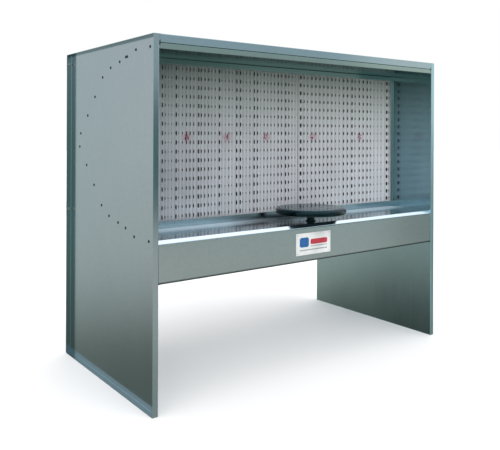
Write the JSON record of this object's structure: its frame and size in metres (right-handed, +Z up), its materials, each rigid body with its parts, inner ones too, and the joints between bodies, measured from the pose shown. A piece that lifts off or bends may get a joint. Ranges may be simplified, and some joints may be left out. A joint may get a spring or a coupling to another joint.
{
  "type": "dry-filter spray bench",
  "caption": "Standing sheet-steel spray bench: open-fronted booth with a worktop and turntable, a pleated dry filter behind, and an exhaust fan on the plenum.",
  "frame": {"origin": "middle of the bounding box on the floor, under the middle of the footprint", "axes": "+X along the bench to the operator's right, +Y from the open front to the back, +Z up"},
  "size_m": [2.09, 1.205, 1.8],
  "materials": {
    "galvanised_steel": "satin",
    "zinc_plated_steel": "satin",
    "filter_board": "matte",
    "fan_grey_paint": "satin",
    "fan_alloy": "satin",
    "black_lacquered_board": "gloss",
    "black_rubber": "matte",
    "black_paint": "satin",
    "contact_black": "matte",
    "white_plate": "satin",
    "box_grey": "satin",
    "start_green": "gloss",
    "stop_red": "gloss"
  },
  "bodies": {
    "bench": {"side_panel_left": "galvanised_steel", "side_panel_right": "galvanised_steel", "worktop": "galvanised_steel", "front_apron": "galvanised_steel", "header_cap": "galvanised_steel", "ceiling_panel": "galvanised_steel", "filter_channel_bottom": "galvanised_steel", "filter_channel_top": "galvanised_steel", "filter_channel_left": "galvanised_steel", "filter_channel_right": "galvanised_steel", "plenum_lower_sheet": "galvanised_steel", "plenum_upper_sheet": "galvanised_steel", "plenum_back_strip": "galvanised_steel", "rear_rail_middle": "galvanised_steel", "rear_rail_top": "galvanised_steel", "exhaust_collar": "galvanised_steel", "filter_support_grid": "zinc_plated_steel", "rail_bolt_middle_left": "zinc_plated_steel", "rail_bolt_middle_right": "zinc_plated_steel", "rail_bolt_top_left": "zinc_plated_steel", "rail_bolt_top_right": "zinc_plated_steel", "screw_table_front_left": "zinc_plated_steel", "screw_table_front_right": "zinc_plated_steel", "screw_table_rear_left": "zinc_plated_steel", "screw_table_rear_right": "zinc_plated_steel", "screw_ceiling_front_left": "zinc_plated_steel", "screw_ceiling_front_right": "zinc_plated_steel", "screw_ceiling_rear_left": "zinc_plated_steel", "screw_ceiling_rear_right": "zinc_plated_steel", "badge_rivet_1": "zinc_plated_steel", "badge_rivet_2": "zinc_plated_steel", "badge_rivet_3": "zinc_plated_steel", "badge_rivet_4": "zinc_plated_steel", "turntable_spindle": "zinc_plated_steel", "turntable_bearing": "zinc_plated_steel", "filter_media_left": "filter_board", "filter_media_right": "filter_board", "fan_casing": "fan_grey_paint", "motor_spider": "fan_grey_paint", "motor_body": "fan_grey_paint", "motor_terminal_box": "fan_grey_paint", "turntable_base": "black_paint", "switch_contact_block": "contact_black", "badge_plate": "white_plate", "switch_base": "box_grey", "switch_cover": "box_grey", "cable_gland": "box_grey"},
    "turntable": {"turntable_disc": "black_lacquered_board", "turntable_mat": "black_rubber"},
    "fan_rotor": {"motor_shaft": "zinc_plated_steel", "impeller": "fan_alloy", "impeller_nut": "zinc_plated_steel"},
    "start_button": {"start_button": "start_green"},
    "stop_button": {"stop_button": "stop_red"}
  },
  "joints": [
    {"name": "turntable_spin", "type": "hinge", "parent": "bench", "child": "turntable", "pos_m": [0.037, -0.3975, 0.88], "axis": [0, 0, 1], "continuous": true},
    {"name": "fan_spin", "type": "hinge", "parent": "bench", "child": "fan_rotor", "pos_m": [0, 0.2985, 1.4985], "axis": [0, 0.7081, 0.7061], "continuous": true},
    {"name": "start_press", "type": "slide", "parent": "bench", "child": "start_button", "axis": [1, 0, 0], "range_m": [0, 0.004], "stiffness_N_per_m": 300, "springref_m": -0.002},
    {"name": "stop_press", "type": "slide", "parent": "bench", "child": "stop_button", "axis": [1, 0, 0], "range_m": [0, 0.004], "stiffness_N_per_m": 300, "springref_m": -0.002}
  ]
}
